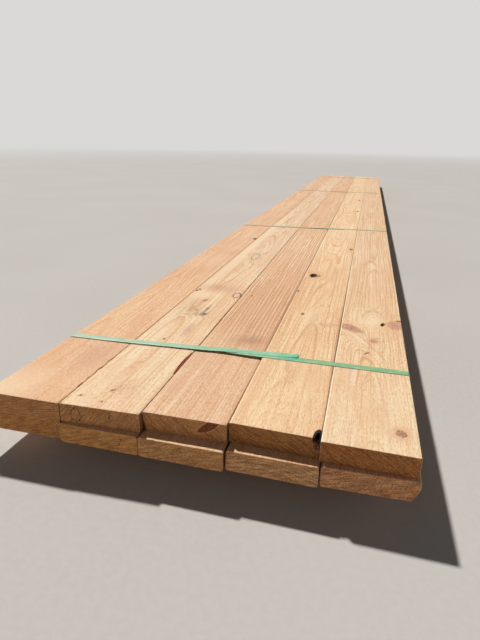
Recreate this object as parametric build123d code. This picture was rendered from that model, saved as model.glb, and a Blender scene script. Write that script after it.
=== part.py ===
from build123d import *
import os

# Strapped bundle of pine studs, in millimetres.
# X runs across the bundle, Y along it with the near end at -Y, and Z is up.
# The origin is on the ground, under the middle of the whole bundle.

# Boards: dressed stock of one size, in two layers
BOARD_WIDTH = 140.0
BOARD_THICKNESS = 35.0
BOARD_LENGTH = 6000.0
ARRIS = 4.0  # radius of the eased long edges

# Gaps between neighbours, from the left
TOP_GAPS = (1.5, 1.0, 2.5, 1.0)
BOTTOM_GAPS = (1.0, 1.0, 4.0, 4.0)

# How far each near end stands back from the common line, at its left and its right corner.
# A pair that differs is an end that was sawn a little out of square.
TOP_ENDS = ((-4.5, -5.5), (-4.0, -1.0), (9.0, 8.0), (14.0, 7.0), (1.5, -2.5))
BOTTOM_ENDS = ((-3.5, -4.5), (-10.0, -12.5), (-13.0, -16.0), (-15.0, -13.0), (-9.5, -8.0))

# Bearers under the stack, evenly spaced between the two outer ones
BEARER_HEIGHT = 45.0
BEARER_WIDTH = 70.0
BEARER_COUNT = 5
BEARER_OVERHANG = 400.0  # from a board end to the middle of the outer bearer
BEARER_END_INSET = 4.0  # from the sides of the lower layer
BEARER_ARRIS = 3.0

# Straps, each placed from the bearer that it lies near
STRAP_BEFORE_FIRST = 127.0
STRAP_PAST_SECOND = 175.0
STRAP_BEFORE_FOURTH = 427.0
STRAP_PAST_LAST = 143.0
STRAP_ANGLES = (6.0, 4.0, -1.2, 1.5)  # at which each upper end lies askew on the lower one
STRAP_WIDTH = 19.0
STRAP_THICKNESS = 0.9
TAIL_LENGTH = 116.0  # of the strap end above the joint
TAIL_PAST_SEAM = 68.0  # how far it runs onto the fourth board
WELD_DEPTH = 0.2  # by which the two layers melt into each other

CUT_ROOM = 1.0  # by which cutting shapes run past the boards

# Levels
BOTTOM_LAYER = BEARER_HEIGHT
TOP_LAYER = BOTTOM_LAYER + BOARD_THICKNESS
STACK_TOP = TOP_LAYER + BOARD_THICKNESS

# Wane: the round of the log left on an edge near the small end of a board.
# Each entry is the width and height lost at the near end, and how far short of the first strap it runs out.
WANE_TOP_3_LEFT = (6.0, 28.0, 18.0)
WANE_TOP_5_RIGHT = (6.0, 8.0, 48.0)
WANE_BOTTOM_5_RIGHT = (12.0, 19.0, 13.0)

# Bark pocket in the upper right edge of the second board, just ahead of the first strap
POCKET_LENGTH = 112.0
POCKET_TO_STRAP = 1.5
POCKET_WIDTH = 6.0
POCKET_DEPTH = 7.0
POCKET_OUTSIDE = 1.5  # its middle lies this far out of the edge, to the side and above

# Hole of a fallen knot in the near right corner of the fourth board
KNOT_HOLE_WIDTH = 12.0
KNOT_HOLE_LENGTH = 25.0
KNOT_HOLE_DEPTH = 17.0
KNOT_HOLE_FROM_EDGE = 7.0
KNOT_HOLE_OUTSIDE = 2.5  # its middle lies this far ahead of the end and above the top


def layer_lefts(gaps):
    """Left sides of a layer's boards, from the left side of the stack."""
    lefts = [0.0]
    for gap in gaps:
        lefts.append(lefts[-1] + BOARD_WIDTH + gap)
    return lefts


def set_back(ends):
    """How far a whole board stands back: the mean of its two near corners."""
    return sum(ends) / 2


TOP_LEFTS = layer_lefts(TOP_GAPS)
BOTTOM_LEFTS = layer_lefts(BOTTOM_GAPS)
STACK_WIDTH = BOTTOM_LEFTS[-1] + BOARD_WIDTH
ALL_ENDS = TOP_ENDS + BOTTOM_ENDS

# Place of the origin in the layout above
FOREMOST = min(min(ends) for ends in ALL_ENDS)
REARMOST = max(set_back(ends) for ends in ALL_ENDS) + BOARD_LENGTH
X_LEFT = -STACK_WIDTH / 2
Y_NEAR = -(FOREMOST + REARMOST) / 2

# Middles of the bearers and straps along the bundle, and the near side of the first strap
BEARER_SPACING = (BOARD_LENGTH - 2 * BEARER_OVERHANG) / (BEARER_COUNT - 1)
BEARER_PLACES = [(number - (BEARER_COUNT - 1) / 2) * BEARER_SPACING for number in range(BEARER_COUNT)]
STRAP_PLACES = (
    BEARER_PLACES[0] - STRAP_BEFORE_FIRST,
    BEARER_PLACES[1] + STRAP_PAST_SECOND,
    BEARER_PLACES[-2] - STRAP_BEFORE_FOURTH,
    BEARER_PLACES[-1] + STRAP_PAST_LAST,
)
FIRST_STRAP = STRAP_PLACES[0] - STRAP_WIDTH / 2


def board(left, floor, ends):
    """A dressed board: eased long edges, the far end square, the near end sawn as stated."""
    x_left = X_LEFT + left
    x_right = x_left + BOARD_WIDTH
    y_far = Y_NEAR + set_back(ends) + BOARD_LENGTH
    y_start = Y_NEAR + min(ends)
    section = Plane(
        origin=((x_left + x_right) / 2, y_start, floor + BOARD_THICKNESS / 2),
        x_dir=(1, 0, 0),
        z_dir=(0, -1, 0),
    ) * RectangleRounded(BOARD_WIDTH, BOARD_THICKNESS, ARRIS)
    blank = extrude(section, amount=-(y_far - y_start))
    saw_cut = Polyline(
        (x_left - CUT_ROOM, y_start - CUT_ROOM),
        (x_right + CUT_ROOM, y_start - CUT_ROOM),
        (x_right + CUT_ROOM, near_line(x_right + CUT_ROOM, left, ends)),
        (x_left - CUT_ROOM, near_line(x_left - CUT_ROOM, left, ends)),
        close=True,
    )
    offcut = extrude(
        Plane.XY.offset(floor - CUT_ROOM) * make_face(saw_cut),
        amount=BOARD_THICKNESS + 2 * CUT_ROOM,
    )
    return blank - offcut


def near_line(x, left, ends):
    """Y of a board's sawn near end at a given X."""
    share = (x - X_LEFT - left) / BOARD_WIDTH
    return Y_NEAR + ends[0] + share * (ends[1] - ends[0])


def lower_wane(piece, corner_x, inward, floor, wane):
    """Takes a wane off a lower long edge as one flat that runs out along the board."""
    width, height, short_of_strap = wane
    length = FIRST_STRAP - short_of_strap - Y_NEAR
    flat = Plane(
        origin=(corner_x + inward * width, Y_NEAR, floor),
        z_dir=(inward / width, 1 / length, 1 / height),
    )
    return split(piece, bisect_by=flat, keep=Keep.TOP)


def oval_hollow(centre, radii):
    """An egg-shaped cutter with the three given radii."""
    ball = Sphere(radius=1.0)
    return Pos(*centre) * scale(ball, by=radii)


def top_board_2():
    """Second board of the upper layer, with the bark pocket in its right edge."""
    left = TOP_LEFTS[1]
    edge_x = X_LEFT + left + BOARD_WIDTH
    middle = FIRST_STRAP - POCKET_TO_STRAP - POCKET_LENGTH / 2
    pocket = oval_hollow(
        (edge_x + POCKET_OUTSIDE, middle, STACK_TOP + POCKET_OUTSIDE),
        (POCKET_WIDTH + POCKET_OUTSIDE, POCKET_LENGTH / 2, POCKET_DEPTH + POCKET_OUTSIDE),
    )
    return board(left, TOP_LAYER, TOP_ENDS[1]) - pocket


def top_board_3():
    """Third board of the upper layer, with wane on its lower left edge."""
    left = TOP_LEFTS[2]
    plain = board(left, TOP_LAYER, TOP_ENDS[2])
    return lower_wane(plain, X_LEFT + left, 1, TOP_LAYER, WANE_TOP_3_LEFT)


def top_board_4():
    """Fourth board of the upper layer, with the hole of a fallen knot in its corner."""
    left = TOP_LEFTS[3]
    hole_x = X_LEFT + left + BOARD_WIDTH - KNOT_HOLE_FROM_EDGE
    end_y = near_line(hole_x, left, TOP_ENDS[3])
    hole = oval_hollow(
        (hole_x, end_y - KNOT_HOLE_OUTSIDE, STACK_TOP + KNOT_HOLE_OUTSIDE),
        (KNOT_HOLE_WIDTH / 2, KNOT_HOLE_LENGTH + KNOT_HOLE_OUTSIDE, KNOT_HOLE_DEPTH + KNOT_HOLE_OUTSIDE),
    )
    return board(left, TOP_LAYER, TOP_ENDS[3]) - hole


def top_board_5():
    """Fifth board of the upper layer, with a little wane on its lower right edge."""
    left = TOP_LEFTS[4]
    plain = board(left, TOP_LAYER, TOP_ENDS[4])
    return lower_wane(plain, X_LEFT + left + BOARD_WIDTH, -1, TOP_LAYER, WANE_TOP_5_RIGHT)


def bottom_board_5():
    """Fifth board of the lower layer, with a broad wane on its lower right edge."""
    left = BOTTOM_LEFTS[4]
    plain = board(left, BOTTOM_LAYER, BOTTOM_ENDS[4])
    return lower_wane(plain, X_LEFT + left + BOARD_WIDTH, -1, BOTTOM_LAYER, WANE_BOTTOM_5_RIGHT)


def bearer(y):
    """A crosswise bearer lying flat on the ground."""
    length = STACK_WIDTH - 2 * BEARER_END_INSET
    section = Plane(
        origin=(-length / 2, y, BEARER_HEIGHT / 2),
        x_dir=(0, 1, 0),
        z_dir=(1, 0, 0),
    ) * RectangleRounded(BEARER_WIDTH, BEARER_HEIGHT, BEARER_ARRIS)
    return extrude(section, amount=length)


def wrap(growth):
    """Outline of a tight wrap round the stack's section, grown outwards by a given amount."""
    right_top = TOP_LEFTS[-1] + BOARD_WIDTH
    corners = (
        (0.0, BOTTOM_LAYER, 1, 1),
        (0.0, STACK_TOP, 1, -1),
        (right_top, STACK_TOP, -1, -1),
        (STACK_WIDTH, TOP_LAYER, -1, -1),
        (STACK_WIDTH, BOTTOM_LAYER, -1, 1),
    )
    rounds = [
        Pos(X_LEFT + x + side * ARRIS, z + rise * ARRIS) * Circle(ARRIS + growth)
        for x, z, side, rise in corners
    ]
    return make_hull([edge for circle in rounds for edge in circle.edges()])


def strap(y_middle, askew):
    """A tensioned strap: a tight loop whose upper end is welded onto the lower one, on top."""
    upright = Plane(origin=(0, y_middle, 0), x_dir=(1, 0, 0), z_dir=(0, -1, 0))
    band = upright * (wrap(STRAP_THICKNESS) - wrap(0.0))
    loop = extrude(band, amount=STRAP_WIDTH / 2, both=True)
    tail = Box(
        TAIL_LENGTH,
        STRAP_WIDTH,
        STRAP_THICKNESS,
        align=(Align.MIN, Align.CENTER, Align.MIN),
    )
    tail_left = X_LEFT + TOP_LEFTS[3] + TAIL_PAST_SEAM - TAIL_LENGTH
    tail_floor = STACK_TOP + STRAP_THICKNESS - WELD_DEPTH
    return loop + Pos(tail_left, y_middle, tail_floor) * Rot(0, 0, askew) * tail


os.makedirs("parts", exist_ok=True)

export_step(board(TOP_LEFTS[0], TOP_LAYER, TOP_ENDS[0]), "parts/board_top_1.step")
export_step(top_board_2(), "parts/board_top_2.step")
export_step(top_board_3(), "parts/board_top_3.step")
export_step(top_board_4(), "parts/board_top_4.step")
export_step(top_board_5(), "parts/board_top_5.step")

for number in range(1, 5):
    plain = board(BOTTOM_LEFTS[number - 1], BOTTOM_LAYER, BOTTOM_ENDS[number - 1])
    export_step(plain, f"parts/board_bottom_{number}.step")
export_step(bottom_board_5(), "parts/board_bottom_5.step")

for number, place in enumerate(BEARER_PLACES, start=1):
    export_step(bearer(place), f"parts/bearer_{number}.step")

for number, (place, askew) in enumerate(zip(STRAP_PLACES, STRAP_ANGLES), start=1):
    export_step(strap(place, askew), f"parts/strap_{number}.step")
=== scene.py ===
"""Looks of the strapped bundle of pine boards.

Each board is swept as its own mesh, with eased edges, sawn ends, wane and the hollows that show. Its
material is solid wood in three dimensions: growth rings round a wandering pith, bent round each knot,
so the marks on an end carry on along the faces. Lengths are in millimetres until a mesh is made.
"""

import math
from collections import namedtuple
from dataclasses import dataclass

import bmesh
import bpy
import numpy as np
from mathutils import Matrix, Vector


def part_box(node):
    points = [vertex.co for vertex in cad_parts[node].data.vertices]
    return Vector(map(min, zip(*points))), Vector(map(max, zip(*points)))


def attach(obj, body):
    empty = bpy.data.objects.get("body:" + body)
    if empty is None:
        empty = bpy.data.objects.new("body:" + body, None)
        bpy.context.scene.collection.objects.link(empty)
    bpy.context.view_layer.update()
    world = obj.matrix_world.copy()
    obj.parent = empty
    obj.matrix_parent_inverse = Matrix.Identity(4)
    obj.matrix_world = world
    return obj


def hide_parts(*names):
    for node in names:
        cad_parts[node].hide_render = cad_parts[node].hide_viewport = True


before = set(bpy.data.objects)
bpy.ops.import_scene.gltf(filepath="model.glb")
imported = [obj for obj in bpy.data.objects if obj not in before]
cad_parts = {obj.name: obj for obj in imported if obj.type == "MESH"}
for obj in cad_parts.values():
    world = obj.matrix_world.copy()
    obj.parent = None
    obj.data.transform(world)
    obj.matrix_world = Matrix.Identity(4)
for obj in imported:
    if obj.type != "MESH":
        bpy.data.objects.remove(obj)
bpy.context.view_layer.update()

MM = 0.001
IN_MM = (1 / MM, 1 / MM, 1 / MM)

# The bundle's layout, as in the part's source
BOARD_WIDTH = 140.0
BOARD_THICKNESS = 35.0
ARRIS = 4.0
X_LEFT = -355.0
Y_NEAR = -2997.25
BOTTOM_LAYER = 45.0
TOP_LAYER = 80.0
STACK_TOP = 115.0
STACK_WIDTH = 710.0
TOP_RIGHT = 706.0
BEARERS = 5
STRAP_WIDTH = 19.0
STRAP_THICKNESS = 0.9
STRAP_Y = (-2727.0, -1125.0, 873.0, 2743.0)
TAIL_END = 493.0

# The upper boards look sharper in the photo than the arris they are sold with
UPPER_ARRIS = 2.1

# An edge is drawn sharp where the surface turns by more than this many degrees
SHARP_ANGLE = 38.0

# How a strap's upper end lies on its lower end: its tip stands up, then it is pressed in at the weld, and
# past the lower end it steps down. All but the depths are measured along the strap.
TIP_RUN, TIP_LIFT = 18.0, 0.9
WELD_MIDDLE, WELD_HALF, WELD_DEPTH = 66.0, 56.0, 0.50
STEP_GAP, STEP_RUN = 4.0, 26.0
ENDS_APART = 0.02

ROUTE_STEP = 6.0

# Where each strap's middle runs on top of the bundle, as (place across, distance beyond its STRAP_Y):
# first from the left side to the upper end, then from the lower end to the right side
STRAP_COURSES = (
    (
        ((0, -6.7), (130, -4.7), (280, 3.3), (370, 8.8), (493, 18.3)),
        ((340, 7.2), (390, 3.6), (500, 2.3), (706, -0.7)),
    ),
    (((0, -26.0), (330, -4.0), (493, 7.0)), ((377, 12.0), (706, 26.0))),
    (((0, 5.0), (493, 2.0)), ((377, 0.0), (706, -3.0))),
    (((0, -4.0), (493, 5.0)), ((377, 1.0), (706, 3.0))),
)

# The studio, in metres and degrees
BACKGROUND = (0.70, 0.69, 0.675, 1.0)
FLOOR_COLOURS = (0.56, 0.53, 0.495, 1.0), (0.62, 0.59, 0.555, 1.0), (0.64, 0.615, 0.585, 1.0)
FLOOR_RADIUS = 80.0
FLOOR_FADE = (7.0, 28.0)
SUN_STRENGTH = 3.45
SUN_DIRECTION = (-0.507, 0.55, 1.0)
SUN_ANGLE = 3.0
SUN_COLOUR = (1.0, 0.985, 0.96)
SKY_COLOUR = (0.96, 0.98, 1.0, 1.0)
SKY_LOW, SKY_HIGH, SKY_HIGH_AT = 0.42, 0.03, 0.8

# The photograph's camera, fitted to the corners of the stack
CAMERA_PLACE = (0.24051, -3.61400, 0.52199)
CAMERA_TURN = (13.917, 20.104, 1.036)
FOCAL_PIXELS = 490.86
PHOTO_HEIGHT = 640.0
SENSOR = 36.0


def srgb(red, green, blue):
    """A colour written as 0 to 255 on screen, as the linear colour that Blender wants."""
    return tuple(
        c / 12.92 if c <= 0.04045 else ((c + 0.055) / 1.055) ** 2.4
        for c in (red / 255, green / 255, blue / 255)
    ) + (1.0,)


def times(colour, *factors):
    """A linear colour with each channel multiplied, for a lighter or darker sister of it."""
    return tuple(min(c * f, 0.97) for c, f in zip(colour, factors)) + (1.0,)


# ---- node graphs


class Value:
    """An output of a node, for use in plain arithmetic."""

    def __init__(self, graph, output):
        self.graph = graph
        self.output = output

    def __add__(self, other):
        return self.graph.math("ADD", self, other)

    def __sub__(self, other):
        return self.graph.math("SUBTRACT", self, other)

    def __rsub__(self, other):
        return self.graph.math("SUBTRACT", other, self)

    def __mul__(self, other):
        return self.graph.math("MULTIPLY", self, other)

    def __truediv__(self, other):
        return self.graph.math("DIVIDE", self, other)

    def __abs__(self):
        return self.graph.math("ABSOLUTE", self)

    __radd__ = __add__
    __rmul__ = __mul__


class Graph:
    """The node tree of a new material or world, with short ways to add nodes to it."""

    def __init__(self, owner):
        self.owner = owner
        owner.use_nodes = True
        self.tree = owner.node_tree

    def feed(self, socket, value):
        if isinstance(value, Value):
            self.tree.links.new(value.output, socket)
        else:
            socket.default_value = value

    def node(self, kind, inputs, output=0, **settings):
        node = self.tree.nodes.new("ShaderNode" + kind)
        for key, value in settings.items():
            setattr(node, key, value)
        for key, value in inputs.items():
            self.feed(node.inputs[key], value)
        return Value(self, node.outputs[output])

    def math(self, operation, a, b=0.0):
        return self.node("Math", {0: a, 1: b}, operation=operation)

    def vector(self, x, y, z):
        return self.node("CombineXYZ", {0: x, 1: y, 2: z})

    def split(self, vector):
        node = self.tree.nodes.new("ShaderNodeSeparateXYZ")
        self.feed(node.inputs[0], vector)
        return [Value(self, output) for output in node.outputs]

    def place(self, vector, location=(0, 0, 0), scale=(1, 1, 1), turn=(0, 0, 0), kind="POINT"):
        inputs = {0: vector, 1: location, 2: turn, 3: scale}
        return self.node("Mapping", inputs, vector_type=kind)

    def egg(self, space, centre, radii, turn=(0, 0, 0)):
        """A space in which the egg with this centre, these radii and this turn in degrees is the unit ball."""
        return self.place(space, centre, radii, tuple(math.radians(angle) for angle in turn), kind="TEXTURE")

    def position(self):
        """The point on the surface in metres, in the object's own space."""
        return self.node("TexCoord", {}, output=3)

    def normal(self):
        return self.split(self.node("NewGeometry", {}, output=1))

    def camera_ray(self):
        return self.node("LightPath", {})

    def length(self, vector):
        return self.node("VectorMath", {0: vector}, output=1, operation="LENGTH")

    def noise(self, vector, detail=2.0, rough=0.5, output=0):
        inputs = {"Vector": vector, "Scale": 1.0, "Detail": detail, "Roughness": rough}
        return self.node("TexNoise", inputs, output=output)

    def grains(self, space, sizes, detail=2.0, rough=0.5, shift=(0, 0, 0)):
        """Noise with grains of these sizes along the three axes."""
        return self.noise(self.place(space, shift, tuple(1 / size for size in sizes)), detail, rough)

    def noise_along(self, w, detail=1.0, output=0):
        inputs = {"W": w, "Scale": 1.0, "Detail": detail}
        return self.node("TexNoise", inputs, output=output, noise_dimensions="1D")

    def ramp(self, value, low, high, start=0.0, end=1.0):
        """A smooth step from start to end as value goes from low to high."""
        inputs = {0: value, 1: low, 2: high, 3: start, 4: end}
        return self.node("MapRange", inputs, interpolation_type="SMOOTHSTEP")

    def mix(self, factor, a, b, blend="MIX"):
        inputs = {0: factor, 6: a, 7: b}
        return self.node("Mix", inputs, output=2, data_type="RGBA", blend_type=blend)

    def bell(self, distance, spread):
        """1 in the middle, 1/e at the given spread, and near 0 beyond twice that."""
        share = distance / spread
        return self.math("POWER", 0.3679, share * share)

    def surface(self, colour, rough, specular, relief=None, bump=0.0, depth=0.0):
        """Plugs a surface into the shader. depth is the relief's height in metres."""
        inputs = self.tree.nodes["Principled BSDF"].inputs
        self.feed(inputs["Base Color"], colour)
        self.feed(inputs["Roughness"], rough)
        self.feed(inputs["Specular IOR Level"], specular)
        if relief is not None:
            self.feed(inputs["Normal"], self.node("Bump", {"Strength": bump, "Distance": depth, "Height": relief}))


# ---- pine


@dataclass
class Board:
    """One board's place and looks, in mm.

    Marks are (kind, x, y, half width, half length, strength, turn) from the stack's near left corner. In the
    board's own mm, end marks are (kind, u, v, half width, half height, turn), cuts are (centre, radii,
    roughness, shape, turn), hollows are (centre, radii, reach, two colours) and wanes are (u of the corner,
    way in, width, height, length)."""

    left: float
    ends: tuple  # how far the near end stands back at its left and right corner
    seed: int
    pith: tuple  # the middle of the log
    tone: tuple
    end_tone: tuple
    marks: list
    floor: float = TOP_LAYER
    outer: str = None  # which of its sides is an outer side of the stack
    drop: tuple = (0.0, 0.0)  # how low its top lies at its left and right
    grow: tuple = (0.0, 0.0)  # how far its left and right side reach into the seam
    crook: float = 40.0  # the pith's wander across the board, up, and steadily along it
    bow: float = 60.0
    taper: float = 0.011
    pitch: float = 4.2  # spacing of the growth rings
    comb: tuple = None  # spacing, start and strength of close lines along the board
    contrast: float = 0.95  # strength of the rings, fibres and pores
    fibre: float = 0.70
    dash: float = 0.40
    end_contrast: float = 0.80
    calm: float = 0.45  # how much plainer the wood is close to the front
    far: tuple = (1.01, 1.03, 1.06)  # tint beyond the first metre
    seam: float = 0.70  # painted shade in the seams
    bright: float = 0.0  # sun on the left edge
    saw: float = 15.0  # slant of the saw's strokes on the end, in degrees
    end_marks: list = ()
    cuts: list = ()
    hollows: list = ()
    wanes: list = ()


# What a mark on a board looks like: colour of its middle, colour of its outline, how far the rings bend
# round it in mm, and how soft its outline is
Mark = namedtuple("Mark", "middle outline bend soft")
MARKS = {
    "red": Mark(srgb(226, 170, 142), srgb(182, 122, 98), 9.0, 0.34),
    "brown": Mark(srgb(150, 100, 70), srgb(96, 58, 38), 6.0, 0.22),
    "eye": Mark(srgb(206, 156, 122), srgb(104, 68, 48), 6.0, 0.20),
    "black": Mark(srgb(36, 22, 17), srgb(96, 58, 36), 7.0, 0.22),
    "ringed": Mark(srgb(240, 206, 176), srgb(92, 52, 36), 7.0, 0.14),
    "fleck": Mark(srgb(96, 60, 40), srgb(150, 102, 70), 1.0, 0.50),
    "smudge": Mark(srgb(150, 112, 80), None, 1.5, 1.00),
    "dirt": Mark(srgb(92, 66, 48), None, 1.0, 0.90),
    # The stain kind serves real stains and, as a long narrow strip beside a seam, painted shade
    "stain_and_shade": Mark(srgb(186, 134, 100), None, 0.5, 1.00),
    "pink": Mark(srgb(226, 170, 140), None, 0.0, 1.00),
    "pale": Mark(srgb(250, 222, 184), None, 0.0, 1.00),
    "loop": Mark(None, srgb(156, 96, 58), 5.0, 1.00),
    "arc": Mark(None, srgb(192, 118, 62), 1.0, 1.00),
    "swirl": Mark(None, None, 12.0, 1.00),
}

# How strong a knot's edge is drawn
EDGE_SHADE = {"red": 0.40, "ringed": 0.95, "brown": 0.75, "eye": 0.75}

# Where open pores start and are full in their noise
PORES = (0.64, 0.72)


class Pine(Graph):
    """Solid pine for one board, in the board's own millimetres: u across, y along, v up."""

    def __init__(self, name, board):
        super().__init__(bpy.data.materials.new(name))
        self.board = board
        self.seed = board.seed
        self.tone = srgb(*board.tone)
        self.end_tone = srgb(*board.end_tone)
        corner = (-(X_LEFT + board.left), -Y_NEAR, -board.floor)
        self.p = self.place(self.position(), corner, IN_MM)
        self.u, self.y, self.v = self.split(self.p)
        self.aside, ahead, _ = self.normal()
        self.facing = abs(ahead)
        self.end = self.ramp(self.facing, 0.55, 0.85)

        # Fibres, short resin lines, open pores and gaps in outlines
        self.fibre = self.grain(1.5, 9, detail=3, rough=0.65)
        self.line = self.grain(2.3, 300, detail=3, rough=0.6, shift=5.0)
        self.pores = self.grain(1.2, 10, detail=1, shift=3.0)
        self.speckle = self.grain(2.0, 8, detail=3, rough=0.75, shift=11.0)
        self.broken = self.ramp(self.grain(3.0, 20, shift=41.0), 0.42, 0.54)
        strokes = self.place(self.p, (0, 0, self.seed), turn=(0, math.radians(board.saw), 0))
        self.saw = self.grains(strokes, (26, 50, 2.1), rough=0.55)

        self.loose = self.shaken()
        self.spots = [self.spot(*mark) for mark in board.marks]

    def grain(self, across, along, detail=2.0, rough=0.5, shift=0.0):
        """Noise drawn out along the board, with grains of the given size in mm."""
        start = (shift, self.seed * 31.7, self.seed * 3.0)
        return self.grains(self.p, (across, along, across), detail, rough, start)

    def tints(self, colour, tone, *rows):
        """Lays sisters of the tone over a colour, each where its noise goes from start to stop."""
        for noise, start, stop, strength, factors in rows:
            colour = self.mix(self.ramp(noise, start, stop) * strength, colour, times(tone, *factors))
        return colour

    def shaken(self):
        """The board's space a little unsteady, for the outlines of marks."""
        place = self.place(self.p, (0, self.seed * 3.1, 0), (1 / 4, 1 / 9, 1 / 4))
        shake = self.noise(place, detail=3, rough=0.6, output=1)
        shake = self.node("VectorMath", {0: shake, 1: (0.5, 0.5, 0.5)}, operation="SUBTRACT")
        shake = self.node("VectorMath", {0: shake, 1: (8.0, 16.0, 6.0)}, operation="MULTIPLY")
        return self.node("VectorMath", {0: self.p, 1: shake}, operation="ADD")

    def spot(self, kind, x, y, wide, long, strength=1.0, turn=0):
        """A mark's kind, its own space, the distance from its middle in its own radii, strength and width."""
        place = self.egg(self.loose, (x - self.board.left, y, 0), (wide, long, 1e5), (0, 0, turn))
        return kind, place, self.length(place), strength, wide


def late_wood(g):
    """Growth rings: pale early wood, then a narrow dark line of late wood with a sharp outer edge.

    They run round a pith that wanders along the board, and bend round each mark."""
    board, u, y = g.board, g.u, g.y
    wander_u, wander_v, _ = g.split(g.noise_along(y / 1500 + g.seed * 7.3, output=1))
    pith_u, pith_v = board.pith
    off_u = u - pith_u - (wander_u - 0.5) * board.crook
    off_v = g.v - pith_v - (wander_v - 0.5) * board.bow
    radius = g.length(g.vector(off_u, 0.0, off_v))
    swell = (g.grain(120, 620) - 0.5) * 13
    ripple = (g.grain(25, 160, detail=1) - 0.5) * 2.4
    radius = radius + swell + ripple + y * board.taper
    for kind, _, away, strength, wide in g.spots:
        bend = MARKS[kind].bend * strength * (1.0 if kind in ("swirl", "loop") else min(wide / 8, 1.4))
        if bend:
            radius = radius + g.bell(away, 1.0 if kind == "swirl" else 2.0) * bend

    turns = radius / board.pitch
    turns = turns + (g.noise_along(turns * 0.37 + g.seed, detail=2) - 0.5) * 1.7
    phase, ring = g.math("FRACT", turns), g.math("FLOOR", turns)
    chance = g.node("TexWhiteNoise", {"W": ring + g.seed * 13.0}, noise_dimensions="1D")
    late = g.ramp(phase, 0.50, 0.88) * g.ramp(phase, 0.92, 1.0, 1.0, 0.0)
    late = late * (chance * 0.9 + 0.35)
    if board.comb:
        # Close lines along the board that start some way in
        spacing, start, strength = board.comb
        sway = (g.grain(60, 700, shift=71.0) - 0.5) * 26 + (chance - 0.5)
        wave = g.math("SINE", (u + sway) * (2 * math.pi / spacing))
        lines = g.ramp(wave, 0.0, 0.9) * (g.grain(9, 500, shift=75.0) * strength)
        late = g.math("MAXIMUM", late, lines * g.ramp(y, start, start + 290.0))
    return late


def face(g):
    """The planed faces: bands and stripes along the board, then rings, then resin lines and fibres."""
    board = g.board
    brown = (0.73, 0.49, 0.32)
    near = g.ramp(g.y, 100.0, 480.0, board.calm, 0.0)
    distant = g.ramp(g.y, 900.0, 2600.0)
    band = g.grain(32, 1300, shift=2.0)
    hue = g.grain(70, 330, detail=3, shift=51.0)
    stripe = g.grain(11, 900, shift=14.0)
    streak = g.grain(4.5, 600, detail=3, rough=0.6, shift=9.0)
    drift = g.grain(26, 380, detail=3, rough=0.6, shift=61.0)
    cloud = g.grain(60, 140, detail=3, shift=7.0)
    pale, deep = times(g.tone, 1.07, 1.12, 1.18), times(g.tone, 0.95, 0.82, 0.70)
    colour = g.mix(g.ramp(band, 0.42, 0.66) * 0.50, pale, deep)
    colour = g.tints(
        colour, g.tone,
        (hue, 0.46, 0.64, 0.50, (0.96, 0.81, 0.72)),
        (hue, 0.50, 0.34, 0.45, (1.06, 1.12, 1.02)),
        (stripe, 0.46, 0.64, distant * 0.38 + 0.32, (0.93, 0.80, 0.66)),
        (stripe, 0.47, 0.32, distant * 0.38 + 0.28, (1.08, 1.16, 1.26)),
        (streak, 0.48, 0.66, distant * 0.20 + 0.34, (0.88, 0.71, 0.54)),
        (streak, 0.47, 0.32, distant * 0.20 + 0.22, (1.08, 1.16, 1.28)),
        (drift, 0.50, 0.66, distant * 0.55, (0.92, 0.78, 0.68)),
    )
    shown = g.ramp(g.grain(30, 420, shift=31.0), 0.32, 0.62, 0.55, 1.0) * (1.0 - near)
    colour = g.mix(g.late * shown * board.contrast, colour, times(g.tone, *brown))
    colour = g.tints(
        colour, g.tone,
        (g.line, 0.48, 0.34, 0.80 - near * 0.7, brown),
        (g.line, 0.54, 0.68, 0.35, (1.08, 1.17, 1.28)),
        (g.fibre, 0.48, 0.34, board.fibre, (0.70, 0.47, 0.31)),
        (g.fibre, 0.52, 0.66, 0.65, (1.10, 1.21, 1.36)),
        (g.pores, *PORES, board.dash, (0.55, 0.36, 0.24)),
        (cloud, 0.48, 0.68, 0.42, (0.88, 0.72, 0.64)),
    )
    return g.mix(g.ramp(g.y, 500.0, 1500.0), colour, board.far + (1.0,), blend="MULTIPLY")


def sawn_end(g):
    """The sawn ends: darker, with fine rings, the strokes of the saw, open pores, knots and cracks."""
    tone = g.end_tone
    worn = g.ramp(g.grain(6, 30, shift=43.0), 0.40, 0.56, 0.35, 1.0)
    rings = g.late * g.board.end_contrast * worn
    blotch = g.grain(13, 40, shift=17.0)
    colour = g.mix(rings, times(tone, 1.25, 1.25, 1.25), times(tone, 0.42, 0.34, 0.28))
    colour = g.tints(
        colour, tone,
        (g.saw, 0.50, 0.60, 0.70, (0.54, 0.43, 0.34)),
        (g.saw, 0.48, 0.38, 0.52, (1.55, 1.60, 1.62)),
        (g.speckle, 0.50, 0.37, 0.75, (0.48, 0.36, 0.28)),
        (g.speckle, 0.52, 0.64, 0.62, (1.62, 1.68, 1.62)),
        (blotch, 0.40, 0.68, 0.40, (0.82, 0.70, 0.58)),
    )
    for kind, u_mark, v_mark, wide, high, turn in g.board.end_marks:
        place = g.egg(g.loose, (u_mark, 0, v_mark), (wide, 60, high), (0, -turn, 0))
        away = g.length(place)
        if kind == "crack":
            colour = g.mix(g.ramp(away, 1.2, 0.6) * 0.8, colour, srgb(62, 36, 24))
            continue
        if kind == "knot":
            # A knot cut along its length: a spindle, pointed at its ends, pale wood beside it
            px, _, pz = g.split(place)
            away = g.math("POWER", abs(px), 1.5) + g.math("POWER", abs(pz), 1.5)
            colour = g.mix(g.bell(away - 1.35, 0.35) * 0.75, colour, times(tone, 1.45, 1.35, 1.22))
            core = g.mix(g.ramp(g.speckle, 0.42, 0.56), srgb(96, 46, 28), srgb(168, 98, 62))
            colour = g.mix(g.ramp(away, 1.10, 0.86), colour, core)
        edge = g.bell(away - 1.0, 0.15) * (g.broken * 0.9 + 0.1)
        colour = g.mix(edge * 0.85, colour, srgb(66, 38, 25))
        g.dent = g.dent + edge * 0.6
    return colour


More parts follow.
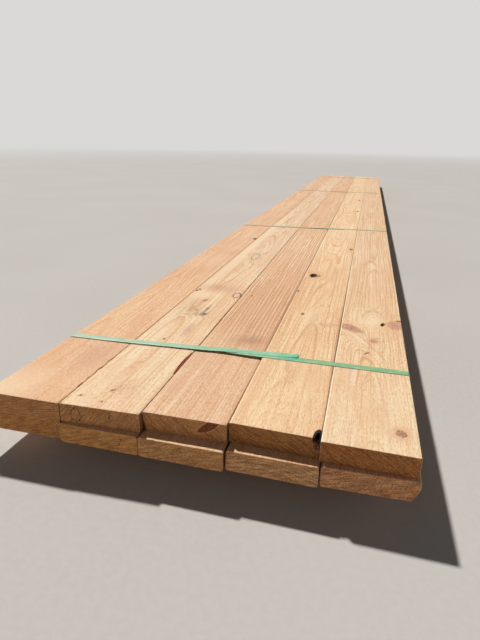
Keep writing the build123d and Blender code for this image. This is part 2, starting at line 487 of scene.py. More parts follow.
def knot(g, colour, kind, away, inside, strength):
    """A knot with rings of its own and a broken dark edge."""
    middle, outline, _, _ = MARKS[kind]
    ringed = kind == "ringed"
    inner = g.math("SINE", away * 17.0) * 0.5 + 0.5
    wood = g.mix(inner * (0.15 if ringed else 0.40), middle, outline)
    if not ringed:
        wood = g.mix(g.ramp(away, 0.30, 0.05) * 0.5, wood, outline)
    wood = g.mix(g.ramp(g.line, 0.44, 0.30) * 0.5, wood, outline)
    colour = g.mix(inside, colour, wood)
    edge = g.bell(away - 0.98, 0.22 if ringed else 0.13) * (g.broken * 0.9 + 0.1)
    g.dent = g.dent + edge * 0.5
    return g.mix(edge * (EDGE_SHADE[kind] * strength), colour, times(outline, 0.8, 0.72, 0.66))


def face_marks(g, colour):
    """The knots, stains and lines that board.marks puts on the faces."""
    scratch = g.ramp(g.grain(1.8, 15, detail=3, rough=0.65, shift=21.0), 0.44, 0.58)
    for kind, place, away, strength, _ in g.spots:
        middle, outline, _, soft = MARKS[kind]
        if kind in ("loop", "arc"):
            drawn = g.bell(away - 1.0, 0.16) * (g.broken * 0.85 + 0.15)
            if kind == "arc":
                # An arc is the far part of a loop
                drawn = drawn * g.ramp(g.split(place)[1], -0.3, 0.5)
            colour = g.mix(drawn * (0.7 * strength), colour, outline)
            continue
        if middle is None:
            continue
        inside = g.ramp(away, 1.0 + soft, max(1.0 - soft, 0.0)) * strength
        if kind in ("smudge", "dirt"):
            inside = inside * (scratch * 0.85 + 0.15)
        if outline is not None:
            halo = g.bell(away, 2.1) * (0.40 * strength)
            colour = g.mix(halo, colour, times(g.tone, 0.88, 0.66, 0.50))
        if kind in EDGE_SHADE:
            colour = knot(g, colour, kind, away, inside, strength)
        else:
            colour = g.mix(inside, colour, middle)
        if kind == "black":
            g.dent = g.dent + inside
    return colour


def sunlit_edge(g, colour):
    """The left edge catches the sun on some boards."""
    if not g.board.bright:
        return colour
    lit = g.ramp(g.u, 4.0, 1.0) * g.ramp(g.grain(20, 90, shift=81.0), 0.35, 0.55, 0.5, 1.0)
    return g.mix(lit * g.board.bright, colour, times(g.tone, 1.10, 1.22, 1.36))


def painted_seam_shade(g, colour):
    """Painted shade on the sides between neighbours, and close to the near end, not on an outer side."""
    if g.board.outer is None:
        seam = abs(g.aside)
    else:
        seam = g.aside * (1.0 if g.board.outer == "left" else -1.0)
    along = g.ramp(g.y, 160.0, 420.0, 0.30, g.board.seam)
    shown = g.math("MAXIMUM", along, g.ramp(g.y, 26.0, 14.0, 0.0, 0.85))
    return g.mix(g.ramp(seam, 0.82, 0.99) * shown, colour, times(g.tone, 0.30, 0.13, 0.05))


def waney_edges(g, colour):
    """The brown round of the log on each wane."""
    bark = None
    for corner_u, inward, wide, tall, run in g.board.wanes:
        depth = (g.u - corner_u) * inward / wide + g.v / tall + g.y / run
        here = g.ramp(depth, 1.14, 1.02)
        bark = here if bark is None else g.math("MAXIMUM", bark, here)
    if bark is None:
        return colour
    hide = g.mix(g.ramp(g.fibre, 0.35, 0.65), srgb(176, 122, 80), srgb(128, 82, 52))
    return g.mix(bark * g.ramp(g.facing, 0.8, 0.5), colour, hide)


def hollow_linings(g, colour):
    """The lining of the bark pocket and of the knot hole, deeper in colour near the top: in the knot hole that is
    painted shade, nearly black, while the shallow bark pocket is its bark's brown all over.
    """
    for centre, radii, reach, light, deep in g.board.hollows:
        away = g.length(g.egg(g.p, centre, radii))
        lining = g.mix(g.ramp(g.line, 0.35, 0.62), srgb(*light), srgb(*deep))
        # Painted shade towards the top of the knot hole: the second colour takes over from v of 24 mm up
        lining = g.mix(g.ramp(g.v, 24.0, 30.0), lining, srgb(*deep))
        colour = g.mix(g.ramp(away, reach + 0.06, reach), colour, lining)
    return colour


def pine(name, board):
    """The material of one board: its faces, its sawn ends and what shows on them."""
    g = Pine(name, board)
    g.late = late_wood(g)
    # What is sunk into the surface is gathered in dent as it is drawn
    g.dent = g.late * 0.35
    end_colour = sawn_end(g)
    colour = sunlit_edge(g, face_marks(g, face(g)))
    colour = painted_seam_shade(g, g.mix(g.end, colour, end_colour))
    colour = hollow_linings(g, waney_edges(g, colour))
    relief = (g.fibre - 0.5) * 0.6 + (g.line - 0.5) * 0.5 + (g.saw - 0.5) * g.end * 1.6
    relief = relief - g.dent * 0.5 - g.ramp(g.pores, *PORES) * 0.35
    rough = g.ramp(g.late, 0.0, 1.0, 0.72, 0.60) + g.end * 0.12
    g.surface(colour, rough, 0.30, relief, bump=0.6, depth=0.0004)
    return g.owner


# ---- meshes


def add_object(name, data):
    obj = bpy.data.objects.new(name, data)
    bpy.context.scene.collection.objects.link(obj)
    return obj


def new_object(name, verts, faces, material):
    """A mesh object with the given points in mm, closed, with outward normals."""
    mesh = bpy.data.meshes.new(name)
    mesh.from_pydata([tuple(co) for co in np.asarray(verts) * MM], [], faces)
    bm = bmesh.new()
    bm.from_mesh(mesh)
    bmesh.ops.remove_doubles(bm, verts=bm.verts, dist=0.00001)
    bmesh.ops.recalc_face_normals(bm, faces=bm.faces)
    bm.to_mesh(mesh)
    bm.free()
    mesh.shade_smooth()
    mesh.materials.append(material)
    return add_object(name, mesh)


def section(width, height, radius, across, arc, side):
    """Points round a rectangle with round corners, anticlockwise as seen from the near end."""
    right, top = width - radius, height - radius
    points = []

    def line(start, stop, count):
        for i in range(count):
            points.append(tuple(a + (b - a) * (i / count) for a, b in zip(start, stop)))

    def turn(cx, cz, first):
        for i in range(arc):
            angle = math.radians(first + 90 * i / arc)
            points.append((cx + radius * math.cos(angle), cz + radius * math.sin(angle)))

    line((radius, 0), (right, 0), across)
    turn(right, radius, -90)
    line((width, radius), (width, top), side)
    turn(right, top, 0)
    line((right, height), (radius, height), across)
    turn(radius, top, 90)
    line((0, top), (0, radius), side)
    turn(radius, radius, 180)
    return np.array(points)


def sweep_faces(rings, around):
    """Quads between rings of points, each ring closed."""
    here = np.arange(around)
    following = np.roll(here, -1)
    quads = np.column_stack([here, following, following + around, here + around])
    return [tuple(quad) for r in range(rings - 1) for quad in (quads + r * around).tolist()]


def timber(width, height, radius, stations, across, arc, side, cap_rings, ease):
    """Local points (ring, point, [u, s, v]) of a bar and its faces, with capped ends.

    s is the place along the bar. The caps shrink towards the middle line of the section."""
    ring = section(width, height, radius, across, arc, side)
    target = np.column_stack([np.clip(ring[:, 0], height / 2, width - height / 2), np.full(len(ring), height / 2)])
    rows = []

    def add(points, s):
        rows.append(np.column_stack([points[:, 0], np.full(len(points), s), points[:, 1]]))

    eased = ring + (target - ring) / np.linalg.norm(target - ring, axis=1)[:, None] * ease
    shares = [1 - k / cap_rings for k in range(cap_rings)]
    for share in shares:
        add(eased + (target - eased) * share, stations[0])
    add(eased, stations[0])
    add(ring, stations[0] + ease)
    for s in stations[1:-1]:
        add(ring, s)
    add(ring, stations[-1] - ease)
    add(eased, stations[-1])
    for share in reversed(shares):
        add(eased + (target - eased) * share, stations[-1])
    points = np.array(rows)
    return points, sweep_faces(len(rows), len(ring))


def lump(name, centre, radii, seed, rough, shape=None, turn=0.0):
    """An uneven egg turned about the vertical, used to cut a hollow. shape bends its points further."""
    rng = np.random.default_rng(seed)
    bm = bmesh.new()
    bmesh.ops.create_icosphere(bm, subdivisions=4, radius=1.0)
    waves = rng.normal(size=(14, 3)) * 3.2
    phases = rng.uniform(0, 2 * math.pi, 14)
    cos, sin = math.cos(math.radians(turn)), math.sin(math.radians(turn))
    for vert in bm.verts:
        n = np.array(vert.co)
        grow = 1 + rough * float(np.mean(np.sin(waves @ n + phases)) * 2.0)
        offset = n * grow * np.array(radii)
        if shape:
            offset = shape(offset)
        x, y, z = offset
        offset = np.array([x * cos - y * sin, x * sin + y * cos, z])
        vert.co = Vector((np.array(centre) + offset) * MM)
    mesh = bpy.data.meshes.new(name)
    bm.to_mesh(mesh)
    bm.free()
    return add_object(name, mesh)


def cut(obj, cutter):
    """Takes the cutter's shape out of obj and removes the cutter."""
    modifier = obj.modifiers.new("cut", "BOOLEAN")
    modifier.operation = "DIFFERENCE"
    modifier.solver = "EXACT"
    modifier.object = cutter
    bpy.context.view_layer.update()
    shown = obj.evaluated_get(bpy.context.evaluated_depsgraph_get())
    mesh = bpy.data.meshes.new_from_object(shown)
    obj.modifiers.clear()
    obj.data = mesh
    mesh.name = obj.name
    bpy.data.objects.remove(cutter)


def finish_piece(obj, node):
    """Sharp edges where the surface turns, and the piece's place in the frame."""
    obj.data.set_sharp_from_angle(angle=math.radians(SHARP_ANGLE))
    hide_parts(node)
    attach(obj, "root")


def smooth_noise(x, seed, step):
    """Gentle random line through points step apart, from -1 to 1."""
    rng = np.random.default_rng(seed)
    knots = rng.uniform(-1, 1, 4000)
    t = np.asarray(x) / step + 1000.0
    i = np.floor(t).astype(int)
    f = t - i
    f = f * f * (3 - 2 * f)
    return knots[i % 4000] * (1 - f) + knots[(i + 1) % 4000] * f


def stations_along(length, fine):
    """Places of the rings along a board: close together near the near end, wider beyond."""
    turn, near_step, middle_step, rest = (300, 7.5, 14, 130) if fine else (120, 10, 40, 70)
    near, middle = np.arange(0, turn, near_step), np.arange(turn, 1000, middle_step)
    return np.concatenate([near, middle, np.linspace(1000, length, rest)])


def board_piece(node, board, material):
    """One board as a mesh, in place."""
    _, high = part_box(node)
    left, right = board.ends
    far = high.y / MM
    upper = board.floor == TOP_LAYER
    stations = stations_along(far - Y_NEAR, fine=upper)
    arris = UPPER_ARRIS if upper else ARRIS
    points, faces = timber(
        BOARD_WIDTH, BOARD_THICKNESS, arris, stations, across=33, arc=5, side=6, cap_rings=4, ease=0.5
    )
    u, s, v = points[..., 0].copy(), points[..., 1].copy(), points[..., 2].copy()
    near = left + (right - left) * u / BOARD_WIDTH
    total = stations[-1]
    y = near + s * (total - near) / total

    # The board's top lies a little low, more so on one side, and is faintly uneven
    drop_left, drop_right = board.drop
    settle = np.interp(y, (0, 260, 700, 1300), (0.3, 1.0, 0.8, 0.35))
    fall = (drop_left + (drop_right - drop_left) * np.clip(u / BOARD_WIDTH, 0, 1) ** 1.5) * settle
    uneven = 0.12 * (1 + smooth_noise(y + 31 * u, board.seed, 310.0))
    lift = (v / BOARD_THICKNESS) ** 2
    v = v - (fall + uneven) * lift

    # The sides wander by a fraction of a millimetre, and lie a little closer than the drawn gaps
    grow_left, grow_right = board.grow
    side_shift = 0.08 * (1 + smooth_noise(y, board.seed + 50, 420.0))
    side = (np.abs(u / BOARD_WIDTH - 0.5) * 2) ** 6
    u = u + side * np.where(u < BOARD_WIDTH / 2, side_shift - grow_left, grow_right - side_shift)

    # A wane is a flat across a lower edge, wide and tall at the near end, that runs out along the board
    for corner_u, inward, wide, tall, run in board.wanes:
        short = np.clip(1 - ((u - corner_u) * inward / wide + v / tall + y / run), 0, None)
        nu, nv = 1 / wide, 1 / tall
        push = short / (nu * nu + nv * nv)
        rounding = 1 + 0.05 * smooth_noise(y + 9 * v, board.seed + 7, 22.0)
        u = u + inward * push * nu * rounding
        v = v + push * nv * rounding
    coords = np.stack([u + X_LEFT + board.left, y + Y_NEAR, v + board.floor], axis=-1)
    obj = new_object(node + "_timber", coords.reshape(-1, 3), faces, material)
    for number, (centre, radii, *form) in enumerate(board.cuts):
        place = (X_LEFT + board.left + centre[0], Y_NEAR + centre[1], board.floor + centre[2])
        cut(obj, lump(f"cutter_{number}", place, radii, board.seed * 10 + number, *form))
        obj.data.shade_smooth()
    finish_piece(obj, node)


def corner_wedge(offset):
    """Draws the knot's hollow in towards its lower right."""
    x, y, z = offset
    down = max(-z, 0.0) / 18.0
    return np.array([x * (1 - 0.65 * down) + 3.6 * down, y * (1 - 0.3 * down), z])


def teardrop(offset):
    """Draws a hollow to a point at its near end."""
    x, y, z = offset
    near = max(-y / 12.0, 0.0)
    return np.array([x * (1 - 0.55 * min(near, 1.0)), y * (1 + 0.15 * near), z])


def rough_sawn(name):
    """Rough-sawn timber for the bearers: fuzzy, greyer, with the marks of a band saw across the grain."""
    g = Graph(bpy.data.materials.new(name))
    p = g.place(g.position(), scale=IN_MM)
    x, y, z = g.split(p)
    info = g.node("ObjectInfo", {}, output=5)
    shift = info * 700.0
    q = g.vector(x, y + shift, z)
    radius = g.length(g.vector(0.0, g.math("PINGPONG", y + shift * 0.3, 90.0) - 45.0, z + 60.0))
    radius = radius + (g.grains(q, (380, 60, 60)) - 0.5) * 26
    phase = g.math("FRACT", radius / 6.0)
    late = g.ramp(phase, 0.3, 0.9) * g.ramp(phase, 0.92, 1.0, 1.0, 0.0)
    fibre = g.grains(q, (60, 0.9, 0.9), 3, 0.6)
    kerf = g.math("SINE", (x + (fibre - 0.5) * 2.0) * 1.9) * 0.5 + 0.5
    cloud = g.grains(q, (120, 40, 40), 3)
    end = g.ramp(abs(g.normal()[0]), 0.55, 0.85)
    colour = g.mix(late * 0.7, srgb(205, 168, 124), srgb(160, 112, 70))
    colour = g.mix(g.ramp(fibre, 0.6, 0.3) * 0.5, colour, srgb(140, 104, 72))
    colour = g.mix(g.ramp(cloud, 0.42, 0.7) * 0.5, colour, srgb(150, 128, 104))
    colour = g.mix(kerf * 0.14, colour, srgb(120, 90, 62))
    colour = g.mix(end * 0.55, colour, srgb(140, 98, 62))
    relief = (fibre - 0.5) * 1.0 + kerf * (1.0 - end) * 0.6
    g.surface(colour, g.ramp(fibre, 0.2, 0.8, 0.78, 0.92), 0.2, relief, bump=0.7, depth=0.0007)
    return g.owner


def bearer_piece(node, material, seed):
    """A rough bearer: the swept section with the sawn surface left uneven."""
    low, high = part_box(node)
    low, high = np.array(low) / MM, np.array(high) / MM
    length, width, height = high - low
    stations = np.linspace(0, length, 90)
    points, faces = timber(width, height, 3.0, stations, across=9, arc=3, side=6, cap_rings=3, ease=0.8)
    u, s, v = points[..., 0].copy(), points[..., 1].copy(), points[..., 2].copy()
    rng = np.random.default_rng(seed)
    inner = np.minimum(np.minimum(s, length - s) / 10, 1)
    jitter = 0.25 * (1 + smooth_noise(s + 40 * v, seed, 26.0)) + 0.1 * rng.uniform(0, 1, s.shape)
    out_u = np.sign(u - width / 2) * (np.abs(u - width / 2) > width / 2 - 1)
    u = u - out_u * jitter * inner
    coords = np.stack([low[0] + s, low[1] + u, low[2] + v], axis=-1)
    obj = new_object(node + "_timber", coords.reshape(-1, 3), faces, material)
    finish_piece(obj, node)


# ---- straps


def hull(points):
    """Corner points of the tight outline round a set of points, anticlockwise."""
    points = sorted(map(tuple, points))

    def half(sequence):
        chain = []
        for p in sequence:
            while len(chain) > 1:
                (ax, ay), (bx, by) = chain[-2], chain[-1]
                if (bx - ax) * (p[1] - ay) - (by - ay) * (p[0] - ax) > 1e-9:
                    break
                chain.pop()
            chain.append(p)
        return chain[:-1]

    return half(points) + half(points[::-1])


def strap_route(lower_end):
    """The tight way round the stack in the X-Z plane, from the tail end, leftwards over the top, round
    and back from the right to the other end under the joint. Steps are at most ROUTE_STEP long."""
    middle = ARRIS + STRAP_THICKNESS / 2
    corners = (
        (ARRIS, BOTTOM_LAYER + ARRIS),
        (ARRIS, STACK_TOP - ARRIS),
        (TOP_RIGHT - ARRIS, STACK_TOP - ARRIS),
        (STACK_WIDTH - ARRIS, TOP_LAYER - ARRIS),
        (STACK_WIDTH - ARRIS, BOTTOM_LAYER + ARRIS),
    )
    cloud = [
        (cx + middle * math.cos(math.radians(a)), cz + middle * math.sin(math.radians(a)))
        for cx, cz in corners
        for a in range(0, 360, 9)
    ]
    loop = hull(cloud)
    top = STACK_TOP + STRAP_THICKNESS / 2
    split = (lower_end + TAIL_END) / 2
    start = next(
        i for i, p in enumerate(loop)
        if abs(p[1] - top) < 0.01 and p[0] > split and loop[(i + 1) % len(loop)][0] < split
    )
    order = loop[start + 1:] + loop[:start + 1]
    order = [(TAIL_END, top)] + order + [(lower_end, top)]
    route = [order[0]]
    for a, b in zip(order, order[1:]):
        steps = max(1, math.ceil(math.dist(a, b) / ROUTE_STEP))
        route += [(a[0] + (b[0] - a[0]) * k / steps, a[1] + (b[1] - a[1]) * k / steps) for k in range(1, steps + 1)]
    return np.array(route)


def strap_piece(node, y_middle, course, material):
    """One strap as a single band whose upper end lies askew on its lower end."""
    upper, lower = (np.array(part) for part in course)
    route = strap_route(lower[0, 0])
    steps = np.linalg.norm(np.diff(route, axis=0), axis=1)
    s = np.concatenate([[0], np.cumsum(steps)])
    tangent = np.gradient(route, axis=0)
    tangent /= np.linalg.norm(tangent, axis=1)[:, None]
    outward = np.column_stack([tangent[:, 1], -tangent[:, 0]])

    # The upper end rides on the lower one, a hair above it
    overlap = TAIL_END - lower[0, 0]
    on_top = 1 - np.clip((s - overlap - STEP_GAP) / STEP_RUN, 0, 1)
    on_top = on_top * on_top * (3 - 2 * on_top)
    weld = np.clip(1 - np.abs(s - WELD_MIDDLE) / WELD_HALF, 0, 1) ** 0.25
    lift = on_top * (STRAP_THICKNESS + ENDS_APART - WELD_DEPTH * weld)
    lift += TIP_LIFT * np.clip(1 - s / TIP_RUN, 0, 1) ** 2

    # Its middle follows the course on top, runs straight below, and bends are rounded over nine steps
    left, right = s[np.argmin(route[:, 0])], s[np.argmax(route[:, 0])]
    below = np.interp(s, (left, right), (upper[0, 1], lower[-1, 1]))
    aside = np.where(s < left, np.interp(route[:, 0], *upper.T), below)
    aside = np.where(s > right, np.interp(route[:, 0], *lower.T), aside)
    y = y_middle + np.convolve(np.pad(aside, 4, mode="edge"), np.ones(9) / 9, mode="valid")
    lean = np.gradient(y, s)
    profile = section(STRAP_WIDTH, STRAP_THICKNESS, radius=0.28, across=6, arc=2, side=1)
    profile = profile - np.array([STRAP_WIDTH / 2, STRAP_THICKNESS / 2])
    base = np.column_stack([X_LEFT + route[:, 0], y, route[:, 1]])
    out = np.column_stack([outward[:, 0], 0 * s, outward[:, 1]])
    # The band's width stays square to its own run
    wide = np.column_stack([-tangent[:, 0] * lean, 1 + 0 * s, -tangent[:, 1] * lean])
    wide /= np.linalg.norm(wide, axis=1)[:, None]
    rows = (base + out * lift[:, None])[:, None] + profile[:, :1] * wide[:, None] + profile[:, 1:] * out[:, None]
    count = len(profile)
    faces = sweep_faces(len(rows), count)
    verts = rows.reshape(-1, 3)
    first = len(verts)
    verts = np.vstack([verts, rows[0].mean(0), rows[-1].mean(0)])
    last = (len(rows) - 1) * count
    faces += [(first, (i + 1) % count, i) for i in range(count)]
    faces += [(first + 1, last + i, last + (i + 1) % count) for i in range(count)]
    obj = new_object(node + "_band", verts, faces, material)
    finish_piece(obj, node)


def strap_plastic(name):
    """Green plastic band, faintly ribbed, with pale scuffs, and a duller olive further along the bundle."""
    scuffed, far_olive = srgb(198, 226, 196), srgb(188, 191, 148)
    g = Graph(bpy.data.materials.new(name))
    p = g.place(g.position(), scale=IN_MM)
    x, y, _ = g.split(p)
    cloud = g.grains(p, (26, 9, 26), 3, 0.6)
    scuff = g.grains(p, (14, 1.1, 14), rough=0.6)
    rib = g.math("SINE", (x + y) * 2.5) * g.math("SINE", (x - y) * 2.5)

    # Paler to the left, fresh green up to the upper end's tip, duller beyond it, and olive on the far straps
    tip = X_LEFT + TAIL_END
    colour = g.mix(g.ramp(x, 40.0, -240.0), srgb(140, 202, 158), srgb(182, 210, 176))
    colour = g.mix(g.ramp(x, 90.0, tip) * g.ramp(x, tip + 12.0, tip + 1.0), colour, srgb(112, 196, 156))
    colour = g.mix(g.ramp(x, tip + 1.0, tip + 12.0), colour, srgb(144, 190, 138))
    distant = g.ramp(y, -2400.0, -1800.0)
    nearby = 1.0 - distant
    colour = g.mix(distant, colour, far_olive)
    colour = g.mix(g.ramp(cloud, 0.50, 0.64) * nearby * 0.55, colour, scuffed)
    colour = g.mix(g.ramp(cloud, 0.48, 0.36) * nearby * 0.35, colour, srgb(118, 178, 138))
    colour = g.mix(g.ramp(scuff, 0.55, 0.75) * 0.25, colour, scuffed)

    # Painted shade: the thin near edge, which faces away from the sun, is darkened, more on the near strap
    colour = g.mix(g.ramp(g.normal()[1], -0.35, -0.8) * (0.30 + nearby * 0.45), colour, srgb(48, 78, 58))
    rough, relief = g.ramp(scuff, 0.3, 0.7, 0.34, 0.52), rib * 0.5 + scuff * 0.3
    g.surface(colour, rough, 0.5, relief, bump=0.35, depth=0.0002)
    return g.owner


# ---- the boards

# Centre and radii of the bark pocket
POCKET = (140.6, 203.25, 35.4), (5.6, 55.0, 4.0)

BOARDS = {
    "board_top_1": Board(
        outer="left", left=0.0, ends=(-4.5, -5.5), seed=1,
        pith=(35, 100), tone=(240, 197, 155), end_tone=(190, 135, 87), drop=(0.5, 1.4),
        grow=(0.0, 0.6), seam=0.3, far=(1.02, 1.08, 1.16),
        contrast=0.7,
        marks=[
            ("black", 133.5, 1496, 7, 15), ("fleck", 120, 3620, 5, 16, 0.9),
            ("pink", 118, 192, 35, 50, 0.5), ("pale", 14, 20, 45, 70, 0.6, -20),
            ("stain_and_shade", 96, 175, 34, 60, 0.22, 10), ("swirl", 60, 330, 30, 110, 0.5),
            ("swirl", 70, 1000, 26, 220, 0.6),
        ],
        cuts=[
            ((133.5, 1496, 35.4), (4.6, 12.0, 4.0), 0.16),
            ((140.2, 126, 35.2), (2.7, 19.0, 3.4), 0.35),
            ((140.2, 62, 35.2), (2.3, 12.0, 3.2), 0.35),
            ((140.2, 92, 35.4), (2.5, 7.0, 3.2), 0.35),
            ((140.2, 170, 35.2), (2.1, 14.0, 3.2), 0.35),
        ],
    ),
    "board_top_2": Board(
        left=141.5, ends=(-4.0, -1.0), seed=2,
        pith=(50, -60), tone=(246, 214, 174), end_tone=(190, 136, 86), drop=(1.4, 2.2),
        grow=(0.4, 0.2), seam=0.5, saw=50.0, far=(1.01, 1.04, 1.12),
        marks=[
            ("pale", 160, 1500, 16, 900, 0.85), ("fleck", 161, 29.5, 4, 2.5, 1.0, 30),
            ("fleck", 206, 19, 2, 2.5, 0.8), ("loop", 220, 78, 9, 8, 0.7, 35),
            ("fleck", 205, 60, 2.2, 5.5, 1.0, -35), ("stain_and_shade", 216, 72, 20, 24, 0.2),
            ("loop", 196, 166, 6, 14, 0.6), ("fleck", 198, 304, 2.5, 5, 0.7),
            ("smudge", 229, 369, 7, 34, 0.6), ("pink", 229, 369, 10, 40, 0.5),
            ("dirt", 224, 482, 13, 13, 0.75), ("fleck", 230, 484, 5, 8, 0.9, -20),
            ("loop", 211, 469, 20, 6, 0.9), ("smudge", 208, 500, 18, 30, 0.35),
            ("dirt", 226, 522, 4, 34, 0.9), ("fleck", 202, 508, 4, 9, 0.4),
            ("pink", 196, 580, 7, 18, 0.7, -10), ("fleck", 199, 592, 3.6, 9, 1.0, -30),
            ("black", 152, 684, 3, 8, 0.9, 30), ("fleck", 147, 672, 3, 7),
            ("ringed", 269, 659, 10, 22), ("pink", 206, 712, 48, 34, 0.5),
            ("smudge", 204, 716, 44, 30, 0.3), ("pale", 184, 640, 22, 34, 0.7),
            ("smudge", 176, 520, 20, 70, 0.30), ("smudge", 215, 1150, 16, 70, 0.8),
            ("pale", 214, 1150, 12, 50, 0.7), ("loop", 214, 1150, 12, 48, 1.2),
            ("loop", 219, 1160, 6, 24, 0.8), ("swirl", 216, 1155, 18, 80, 0.9),
            ("pink", 235, 1700, 12, 50, 0.6),
        ],
        end_marks=[
            ("ring", 28, 17, 8.5, 12, 0), ("crack", 88.5, 23, 0.9, 9.5, 0),
            ("crack", 116, 18, 1.4, 1.6, 0),
        ],
        cuts=[(*POCKET, 0.20)],
        hollows=[(*POCKET, 1.16, (184, 98, 56), (142, 68, 40))],
    ),
    "board_top_3": Board(
        left=282.5, ends=(9.0, 8.0), seed=3,
        pith=(92, 62), tone=(238, 200, 162), end_tone=(192, 137, 88), drop=(3.2, 4.6),
        grow=(0.2, 0.4), seam=1.0, bright=0.5, saw=-45.0,
        comb=(9.5, 230.0, 2.6), pitch=4.8, contrast=1.30, crook=20, bow=20, taper=0.003,
        far=(1.12, 1.22, 1.30),
        marks=[
            ("stain_and_shade", 378, 352, 36, 26, 0.55, 20), ("smudge", 382, 357, 24, 12, 0.32, 30),
            # The long narrow stain along the right edge is painted shade beside the seam
            ("stain_and_shade", 421, 560, 3.5, 420, 0.6), ("pink", 305, 112, 14, 40, 0.5),
            ("brown", 308.5, 674, 3, 6, 0.9),
        ],
        end_marks=[("knot", 112, 26, 22, 6.5, 35), ("crack", 116.5, 8.5, 0.8, 7.5, 37)],
        wanes=[(0.0, 1, 6.0, 28.0, 242.75)],
    ),
    "board_top_4": Board(
        left=425.0, ends=(14.0, 7.0), seed=4,
        pith=(70, 95), tone=(246, 209, 165), end_tone=(170, 116, 67),
        grow=(0.5, 0.3), seam=1.0, bright=0.7, saw=-30.0, calm=0.6, fibre=0.60, dash=0.25,
        contrast=0.85, far=(1.08, 1.17, 1.26),
        marks=[
            # The long narrow stain along the right edge is painted shade beside the seam
            ("pink", 536, 490, 22, 12, 0.5), ("stain_and_shade", 564, 440, 3, 200, 0.6),
            ("loop", 536, 494, 20, 9, 0.5), ("loop", 517, 633, 9, 14, 0.35),
            ("pale", 467, 553, 12, 24, 0.5), ("brown", 467.5, 553, 4.5, 8, 0.9),
            ("brown", 459, 938, 16, 18, 0.7), ("black", 452, 938, 11, 25),
            ("fleck", 427, 750, 4.5, 11), ("brown", 553, 1400, 6, 16, 0.9),
            ("fleck", 547, 2600, 6, 22, 0.9), ("fleck", 541, 3252, 6, 26, 0.9),
            ("swirl", 495, 175, 26, 90, 0.7), ("pale", 498, 530, 12, 50, 0.55),
            ("swirl", 492, 1130, 26, 330, 0.9),
        ],
        cuts=[
            ((135.6, 6.0, 37.0), (5.4, 18.0, 18.0), 0.16, corner_wedge),
            ((26.5, 938, 35.6), (9.0, 14.0, 5.5), 0.20),
        ],
        # The second colour, nearly black, is painted shade inside the knot hole
        hollows=[((136.2, 8.0, 37.0), (7.2, 22.5, 21.5), 1.06, (196, 134, 98), (34, 21, 17))],
    ),
    "board_top_5": Board(
        outer="right", left=566.0, ends=(1.5, -2.5), seed=5,
        pith=(72, 80), tone=(247, 214, 173), end_tone=(172, 113, 63),
        grow=(0.2, 0.0), bright=0.9, saw=-35.0, calm=0.65, fibre=0.55, dash=0.20,
        comb=(10.0, 560.0, 1.5), bow=24, far=(1.03, 1.06, 1.13),
        marks=[
            ("pale", 640, 560, 26, 52), ("pale", 600, 436, 10, 60, 0.9, 30),
            ("arc", 640, 552, 10, 26, 0.4), ("arc", 640, 555, 17, 44, 0.45),
            ("arc", 640, 560, 26, 64, 0.6), ("loop", 606, 428, 8, 62, 0.7, 30),
            ("arc", 596, 440, 4, 56, 0.8, 30), ("arc", 650, 420, 13, 16, 0.8),
            ("swirl", 641, 556, 24, 56, 1.6), ("swirl", 600, 440, 22, 110, 1.4, 25),
            ("red", 589, 486, 14, 28, 1.0, 40), ("smudge", 589, 486, 13, 26, 0.65, 40),
            ("red", 690, 532, 16, 27, 0.9), ("smudge", 690, 532, 14, 22, 0.25),
            ("black", 662, 530, 5, 12, 1.0, -15), ("fleck", 700, 565, 6, 4),
            ("pink", 640, 416, 12, 15, 0.9), ("eye", 642, 416, 7, 9, 0.6),
            ("fleck", 615, 466, 5, 4, 0.35), ("fleck", 626, 345, 2.2, 9, 1.0, -40),
            ("pink", 680.5, 54, 15, 17, 0.7), ("eye", 680.5, 54, 7.5, 8.5),
            ("swirl", 634, 60, 30, 90, 0.4), ("swirl", 632, 1130, 22, 80, 0.5),
            ("pale", 638, 1130, 10, 40, 0.8), ("arc", 630, 1110, 20, 90, 0.6),
            ("swirl", 635, 2253, 22, 120, 0.7),
        ],
        cuts=[((96.0, 530, 35.4), (4.4, 11.5, 4.5), 0.12, teardrop, -15)],
        wanes=[(140.0, -1, 6.0, 8.0, 212.75)],
    ),
    "board_bottom_1": Board(
        outer="left", left=0.0, floor=BOTTOM_LAYER, ends=(-3.5, -4.5), seed=11,
        pith=(45, 100), tone=(232, 190, 150), end_tone=(192, 134, 80),
        marks=[("red", 60, 1900, 14, 22)],
    ),
    "board_bottom_2": Board(
        left=141.0, floor=BOTTOM_LAYER, ends=(-10.0, -12.5), seed=12,
        pith=(65, -50), tone=(234, 194, 152), end_tone=(202, 145, 87),
        marks=[("red", 190, 900, 12, 18)],
        end_marks=[("crack", 108, 16, 1.3, 4.5, -30), ("crack", 112, 24, 0.9, 3.0, -30)],
    ),
    "board_bottom_3": Board(
        left=282.0, floor=BOTTOM_LAYER, ends=(-13.0, -16.0), seed=13, grow=(0.0, 1.8),
        pith=(80, -80), tone=(236, 196, 154), end_tone=(200, 147, 95),
        marks=[("brown", 330, 2500, 9, 14)],
        end_marks=[("crack", 72, 29, 1.6, 2.2, 0), ("crack", 73, 22.5, 1.6, 2.8, 20)],
    ),
    "board_bottom_4": Board(
        left=426.0, floor=BOTTOM_LAYER, ends=(-9.8, -14.0), seed=14, grow=(0.0, 1.8),
        pith=(55, -195), tone=(236, 194, 150), end_tone=(208, 156, 109), pitch=6.5, end_contrast=1.3,
        marks=[("red", 500, 1400, 12, 20)],
    ),
    "board_bottom_5": Board(
        outer="right", left=570.0, floor=BOTTOM_LAYER, ends=(-9.5, -8.0), seed=15,
        pith=(0, 50), tone=(234, 192, 150), end_tone=(205, 148, 104),
        marks=[("brown", 650, 3000, 10, 16)],
        wanes=[(140.0, -1, 10.0, 21.0, 247.75)],
    ),
}

for node, board in BOARDS.items():
    board_piece(node, board, pine("pine_" + node.removeprefix("board_"), board))

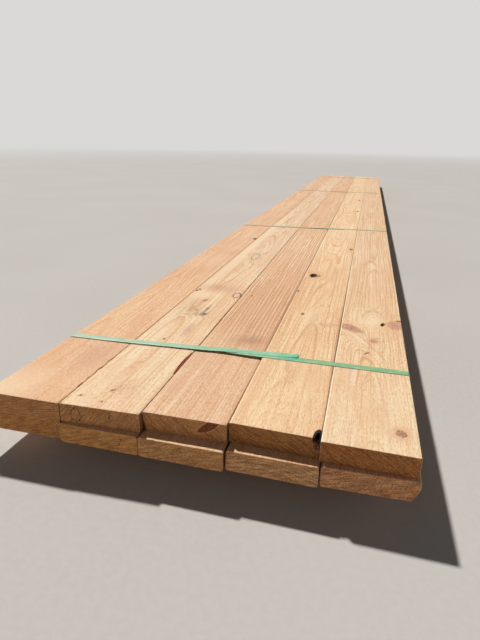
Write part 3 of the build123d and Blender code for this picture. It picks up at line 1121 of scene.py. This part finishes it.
rough = rough_sawn("rough_pine")
for number in range(1, BEARERS + 1):
    bearer_piece(f"bearer_{number}", rough, seed=80 + number)

plastic = strap_plastic("green_plastic")
for number, (y_middle, course) in enumerate(zip(STRAP_Y, STRAP_COURSES), start=1):
    strap_piece(f"strap_{number}", y_middle, course, plastic)


# ---- floor, light, camera


def make_floor():
    """A wide pale floor that fades into the pale background."""
    dark, light, pale = FLOOR_COLOURS
    g = Graph(bpy.data.materials.new("floor_pale"))
    at = g.position()
    grain = g.noise(g.place(at, scale=(90, 90, 90)), detail=3, rough=0.6)
    blotch = g.noise(g.place(at, scale=(1.3, 1.3, 1.3)), detail=3)
    colour = g.mix(g.ramp(grain, 0.3, 0.7) * 0.5, dark, light)
    colour = g.mix(g.ramp(blotch, 0.35, 0.7) * 0.3, colour, pale)
    g.surface(colour, rough=0.85, specular=0.15)
    near = Value(g, g.tree.nodes["Principled BSDF"].outputs[0])
    far = g.node("Emission", {"Color": BACKGROUND})
    fade = g.ramp(g.length(at), *FLOOR_FADE) * g.camera_ray()
    g.feed(g.tree.nodes["Material Output"].inputs["Surface"], g.node("MixShader", {0: fade, 1: near, 2: far}))
    bm = bmesh.new()
    bmesh.ops.create_circle(bm, cap_ends=True, segments=96, radius=FLOOR_RADIUS)
    mesh = bpy.data.meshes.new("floor")
    bm.to_mesh(mesh)
    bm.free()
    mesh.materials.append(g.owner)
    floor = add_object("floor", mesh)


def make_light():
    """A soft sun from behind on the left, and a pale sky, brighter low down."""
    sun = bpy.data.lights.new("key", "SUN")
    sun.energy = SUN_STRENGTH
    sun.angle = math.radians(SUN_ANGLE)
    sun.color = SUN_COLOUR
    add_object("key", sun).rotation_euler = Vector(SUN_DIRECTION).to_track_quat("Z", "Y").to_euler()

    g = Graph(bpy.data.worlds.new("sky"))
    height = g.split(g.node("TexCoord", {}))[2]
    fade = g.node("MapRange", {"Value": height, "From Max": SKY_HIGH_AT, "To Min": SKY_LOW, "To Max": SKY_HIGH})
    lit = g.node("Background", {"Color": SKY_COLOUR, "Strength": fade})
    seen = g.node("Background", {"Color": BACKGROUND})
    blend = g.node("MixShader", {0: g.camera_ray(), 1: lit, 2: seen})
    g.feed(g.tree.nodes["World Output"].inputs["Surface"], blend)
    bpy.context.scene.world = g.owner


def make_camera():
    """The photograph's view: looking along the bundle from above its near right corner."""
    data = bpy.data.cameras.new("camera")
    data.sensor_width = SENSOR
    data.lens = FOCAL_PIXELS * SENSOR / PHOTO_HEIGHT
    data.clip_start = 0.05
    data.clip_end = 500.0
    camera = add_object("camera", data)
    yaw, pitch, roll = (math.radians(angle) for angle in CAMERA_TURN)
    level = Matrix.Rotation(yaw, 4, "Z") @ Matrix.Rotation(math.pi / 2 - pitch, 4, "X")
    camera.matrix_world = Matrix.Translation(CAMERA_PLACE) @ level @ Matrix.Rotation(roll, 4, "Z")
    bpy.context.scene.camera = camera


make_floor()
make_light()
make_camera()
bpy.context.scene.view_settings.view_transform = "Standard"

bpy.context.view_layer.update()
